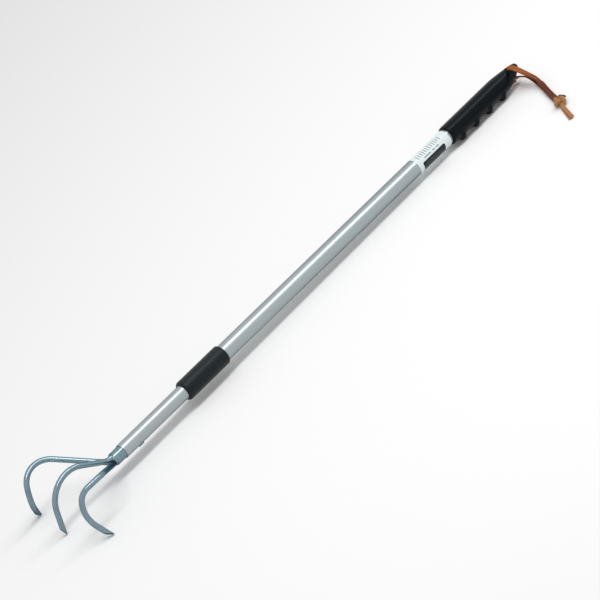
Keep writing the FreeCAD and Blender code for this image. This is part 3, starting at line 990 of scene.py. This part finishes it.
class CLAW_OT_stage(bpy.types.Operator):
    """Makes the floor, the light and the camera"""
    bl_idname = "claw.stage"
    bl_label = "Stage"

    def execute(self, context):
        self.floor()
        self.world()
        self.lights()
        self.camera()
        context.scene.view_settings.view_transform = "Standard"
        return {"FINISHED"}

    def floor(self):
        """A plain pale floor that takes the tool's shadow."""
        deselect()
        bpy.ops.mesh.primitive_plane_add(size=FLOOR_SIZE)
        floor = bpy.context.object
        floor.name = "floor"
        material, tree, shader = new_material("paper_floor")
        dress(tree, shader, opaque(colours().ground), 0.9, values={"Specular IOR Level": 0.0})
        floor.data.materials.append(material)

    def world(self):
        """An even white room: it fills the shadows, and the camera, the metal and the
        gloss see it as white."""
        world = bpy.data.worlds.new("studio")
        bpy.context.scene.world = world
        world.use_nodes = True
        tree = world.node_tree
        tree.nodes.clear()
        rays = add_node(tree, "ShaderNodeLightPath").outputs
        seen = rays["Is Camera Ray"]
        for kind in ("Is Glossy Ray", "Is Transmission Ray"):
            seen = add_node(tree, "ShaderNodeMath", {0: seen, 1: rays[kind]},
                            operation="MAXIMUM").outputs[0]
        fill, plain = (add_node(tree, "ShaderNodeBackground", {
            "Color": opaque(linear("FFFFFF")), "Strength": strength}).outputs[0]
            for strength in (WORLD_FILL, 1.0))
        both = add_node(tree, "ShaderNodeMixShader", {0: seen, 1: fill, 2: plain})
        add_node(tree, "ShaderNodeOutputWorld", {"Surface": both.outputs[0]})

    def lights(self):
        """Long lamps that lie along the tool and face it."""
        for name, place, size, power in LAMPS:
            lamp = bpy.data.lights.new(name, "AREA")
            lamp.shape = "RECTANGLE"
            lamp.size, lamp.size_y = size
            lamp.energy = power
            holder = bpy.data.objects.new(name, lamp)
            bpy.context.scene.collection.objects.link(holder)
            back = Vector((0, place[1], place[2])).normalized()
            turn = Matrix(((1, 0, 0), back.cross((1, 0, 0)), back)).transposed().to_4x4()
            holder.matrix_world = Matrix.Translation(place) @ turn

    def camera(self):
        """The photograph's view: the pole runs down to the left, and its claw end is
        nearer. The angles are about the pole, and the place is given along it."""
        swing, tip = math.radians(VIEW_SWING), math.radians(VIEW_TIP)
        back = Vector((-math.sin(swing), -math.cos(swing) * math.sin(tip),
                       math.cos(swing) * math.cos(tip)))
        along = Vector((-math.cos(swing), math.sin(swing) * math.sin(tip),
                        -math.sin(swing) * math.cos(tip)))
        beside = Vector((0, math.cos(tip), math.sin(tip)))
        dx, dy = Vector(POLE_ON_PICTURE).normalized()
        right = dx * along - dy * beside
        down = dy * along + dx * beside
        place = Vector((VIEW_STATION, 0, 0)) - beside * VIEW_BESIDE + back * VIEW_DISTANCE
        turn = Matrix((right, -down, back)).transposed().to_4x4()
        camera = bpy.data.cameras.new("camera")
        camera.sensor_width = SENSOR_WIDTH
        camera.lens = SENSOR_WIDTH * VIEW_FOCAL / PICTURE_WIDTH
        camera.clip_end = 100.0
        holder = bpy.data.objects.new("camera", camera)
        bpy.context.scene.collection.objects.link(holder)
        holder.matrix_world = TOOL @ Matrix.Translation(place * MM) @ turn
        bpy.context.scene.camera = holder


# Faces that meet at less than this angle are smooth, in degrees
TURNED_ANGLE = 35
GRIP_ANGLE = 40
WELD_ANGLE = 50
TINE_ANGLE = 30
STRAP_ANGLE = 50
KNOT_ANGLE = 60

# Fits and small sizes, in millimetres. The sleeve's far corner is a share of its other.
SEAT_GAP = 0.02
SLEEVE_LIP_GAP = 0.05
SLEEVE_LIP = 4.0
SLEEVE_FAR_CORNER = 0.7
LABEL_FILM = 0.15
LABEL_EDGE = 0.1
FERRULE_WALL = 0.8
FERRULE_INSIDE = 41.9

# Weld: how far in it starts, where its front edge is, and its dome's reach and share
WELD_DEPTH = 5.0
WELD_IN = 0.8
WELD_DOME = ((0.9, 0.98), (2.2, 0.9), (3.4, 0.74), (4.3, 0.5), (4.8, 0.2), (4.85, 0.05))

# Marks on the label: round the tube from its top towards the front, and along it
LABEL_TICKS = 12
LABEL_TICK_SIDE = 4.2
LABEL_TICK_START = 6.7
LABEL_TICK_PITCH = 3.8
LABEL_TICK_HALF = (3.8, 3.0, 3.4)
LABEL_DASH_SIDE = 10.9
LABEL_DASHES = ((13.9, 12.1), (29.5, 4.5), (36.0, 5.7))
LABEL_PANEL = (24.0, 28.1)
LABEL_PANEL_HALF = (9.8, 21.1)
LABEL_LINE = 0.6
PRINT_SOFT = 0.06
LABEL_RULES = ((17.4, 12.0, 26.0), (19.8, 9.5, 34.0), (25.0, 12.0, 22.0))

# Grip: its mouth's round edge, as distance in and depth, its socket and its hole
GRIP_MOUTH = ((0.0, 1.0), (0.35, 0.35), (1.1, 0.0))
GRIP_CLOSED_END = 0.8
SOCKET_START = 0.3
HOLE_RIM = 0.5
CLOSEST_RINGS = 1.5

# Finger ridges: distance from the crest along the tool, and height under the grip. The
# angles from straight down are those where the height starts to fade and where it ends.
RIDGE_PROFILE = (
    (-5.9, 0.0), (-5.0, 0.25), (-4.2, 0.9), (-1.7, 3.6), (-1.1, 4.0), (-0.3, 4.2),
    (0.5, 4.15), (1.4, 3.7), (2.3, 3.0), (5.6, 0.7), (6.8, 0.25), (9.0, 0.0))
RIDGE_FULL = 32
RIDGE_REACH = 86
RIDGE_STEP = 6

# Sections of the grip: place along the tool, top, bottom and half width
GRIP_SECTIONS = (
    (490.0, 13.5, -13.5, 13.5), (598.0, 13.5, -13.5, 13.5), (602.0, 13.4, -13.5, 13.45),
    (606.0, 13.1, -13.4, 13.1), (609.5, 12.8, -13.5, 12.8), (613.0, 12.5, -13.4, 12.2),
    (617.0, 12.2, -13.1, 11.4), (621.0, 11.9, -12.4, 10.4), (624.5, 11.55, -11.3, 9.5),
    (628.0, 11.2, -10.0, 8.6), (631.0, 10.9, -8.4, 8.05), (634.0, 10.6, -6.6, 7.6),
    (636.5, 10.1, -4.7, 7.1), (639.0, 9.5, -2.6, 6.6), (641.0, 9.0, -0.4, 5.9),
    (642.6, 8.5, 1.5, 5.1), (643.5, 7.8, 3.0, 4.0))

# Tines: corners beyond the ferrule, out to the side and over the axis
ROD_GAP = 0.1
CLOSEST_POINTS = 0.6
ROD_IN_FERRULE = 32.2
MIDDLE_SHOULDER = 7.2
MIDDLE_CORNERS = ((87.2, 0.0, 55.6), (103.6, 0.0, -27.9))
MIDDLE_RADII = (14.0, 36.4)
SIDE_SHOULDER = 3.6
SIDE_CORNERS = ((55.4, 62.2, 37.0), (85.7, 53.5, 32.0), (96.5, 51.0, 4.0),
                (85.7, 70.8, -28.5))
SIDE_RADII = (8.0, 27.0, 20.0, 37.0)
BEVEL_LENGTH = 10.5
BEVEL_FLAT = 0.7
GRIND_REACH = 2.5 * BEVEL_LENGTH

# Pieces of the frame that stay, and their finish
CARRIED_OVER = {
    "guide_bush": "nylon", "end_plug": "plastic", "plug_pin": "steel",
    "lock_stud": "steel", "stop_washer": "steel", "expander_sleeve": "nylon",
    "cone_nut": "nylon", "rivet": "zinc", "rivet_mandrel": "steel",
}

# Section of the strap: shares of half its thickness
STRAP_SIDE = 0.45
STRAP_ROUND = 0.35
STRAP_CROWN = 1.06

# Thong: points from the thong hole and over the ground, and the ways that its face looks
STRAND_OFFSET = -2.9
STRANDS = (
    ("thong_upper_strap",
     [(0, -2.9, 31.4), (0.5, -11.3, 30.6), (3.2, -19.5, 25.4), (6.0, -28, 17.6),
      (7.8, -37.5, 11.6), (4.0, -48, 6.6), (-3.4, -61, 4.6), (-10, -74, 3.9),
      (-17, -88, 4.0), (-25, -104, 6.6)],
     [(0.0, (0, -1, 0)), (0.1, (0, -1, 0.6)), (0.2, (-0.04, -0.48, 0.87)),
      (0.34, (0.25, -0.62, 0.74)), (0.47, (0.37, -0.47, 0.8)), (0.56, (0.52, -0.4, 0.75)),
      (0.66, (-0.25, -0.05, 0.97)), (1.0, (0, 0.1, 1))]),
    ("thong_lower_strap",
     [(0, -2.9, 7.0), (1.0, 0.5, 5.0), (6.0, 4.0, 5.0), (9.3, -1.0, 8.4), (8.6, -8.9, 10.4),
      (8.8, -16, 10.6), (8.9, -23.5, 10.8), (8.2, -31, 9.0), (6.6, -41, 4.6), (1.2, -54, 1.9),
      (-6, -68, 1.4), (-14.6, -83.5, 1.4), (-24.6, -104, 3.6)],
     [(0.0, (0, 1, 0)), (0.12, (0, 0, 1)), (0.2, (0.5, 0.15, 0.8)), (0.5, (0.62, 0.1, 0.77)),
      (0.65, (0.3, 0, 0.95)), (0.75, (0, 0, 1)), (1.0, (0, 0, 1))]),
)
TAILS = {
    "thong_tail_upper": [(-26, -106, 5.5), (-30.5, -114, 4.2), (-38, -128, 3.3),
                         (-46.5, -143.5, 3.2)],
    "thong_tail_lower": [(-26, -106, 3.5), (-31.5, -114, 2.2), (-40, -128, 1.2),
                         (-48.5, -142, 1.2)],
}
TAIL_FACES = {name: ((0.0, (0, 0, 1)), (1.0, (0, 0, 1))) for name in TAILS}

# Widths as shares of the strap's, and the share of a strand that is folded in the hole
TAIL_WIDTH = 0.62
KNOT_FLAP_WIDTH = 0.8
HOLE_WIDTH = 0.6
HOLE_SHARE = 0.22

# Knot: its place, its half sizes, its strand and its flap's route
KNOT_CENTRE = (-26.0, -106.0, 6.9)
KNOT_SIZE = (5.2, 6.8, 3.6)
KNOT_STRAND = 5.6
KNOT_FLAP = ((-26.5, -106.5, 8), (-23.5, -106.8, 12.4), (-17.5, -105.4, 11),
             (-15, -104.5, 6.5))
KNOT_FLAP_FACES = ((0.0, (0, 0, 1)), (1.0, (0.7, 0, 0.7)))
KNOT_STEPS = 18
KNOT_TURN = 30.0

# Stage, in metres and watts: a lamp has a place, a length and width, and a power
FLOOR_SIZE = 40.0
WORLD_FILL = 0.55
LAMPS = (
    ("overhead_light", (1.0, -0.61, 2.12), (4.4, 0.65), 31.0),
    ("strip_light", (1.0, -0.57, 1.98), (4.4, 0.02), 10.0),
)

# Camera: angles about the pole, in degrees, and places from the outer tube's mouth
PICTURE_WIDTH = 600
SENSOR_WIDTH = 36.0
VIEW_FOCAL = 3600.0
VIEW_SWING = 27.0
VIEW_TIP = 57.0
VIEW_STATION = 192.0
VIEW_BESIDE = 18.4
VIEW_DISTANCE = 4364.0
POLE_ON_PICTURE = (-0.716, 0.698)


class CLAW_PT_panel(bpy.types.Panel):
    """Lists the pieces, their sizes and their colours"""
    bl_idname = "CLAW_PT_panel"
    bl_label = "Cultivator Claw"
    bl_space_type = "VIEW_3D"
    bl_region_type = "UI"
    bl_category = "Claw"

    def draw(self, context):
        for step in STEPS:
            self.layout.operator(step.bl_idname)
        for group in (context.scene.claw_sizes, context.scene.claw_colours):
            box = self.layout.box()
            for name in group.__annotations__:
                box.prop(group, name)


STEPS = (CLAW_OT_stage, CLAW_OT_thong, CLAW_OT_tubes, CLAW_OT_sleeve, CLAW_OT_label,
         CLAW_OT_grip, CLAW_OT_ferrule, CLAW_OT_tines, CLAW_OT_carried_over)
CLASSES = (ClawSizes, ClawColours, *STEPS, CLAW_PT_panel)


def register():
    for cls in CLASSES:
        bpy.utils.register_class(cls)
    bpy.types.Scene.claw_sizes = PointerProperty(type=ClawSizes)
    bpy.types.Scene.claw_colours = PointerProperty(type=ClawColours)


def unregister():
    del bpy.types.Scene.claw_colours
    del bpy.types.Scene.claw_sizes
    for cls in reversed(CLASSES):
        bpy.utils.unregister_class(cls)


def corners(bounds):
    return [list(corner) for corner in bounds]


def main():
    register()
    for step in STEPS:
        group, name = step.bl_idname.split(".")
        getattr(getattr(bpy.ops, group), name)()


if __name__ == "__main__":
    main()
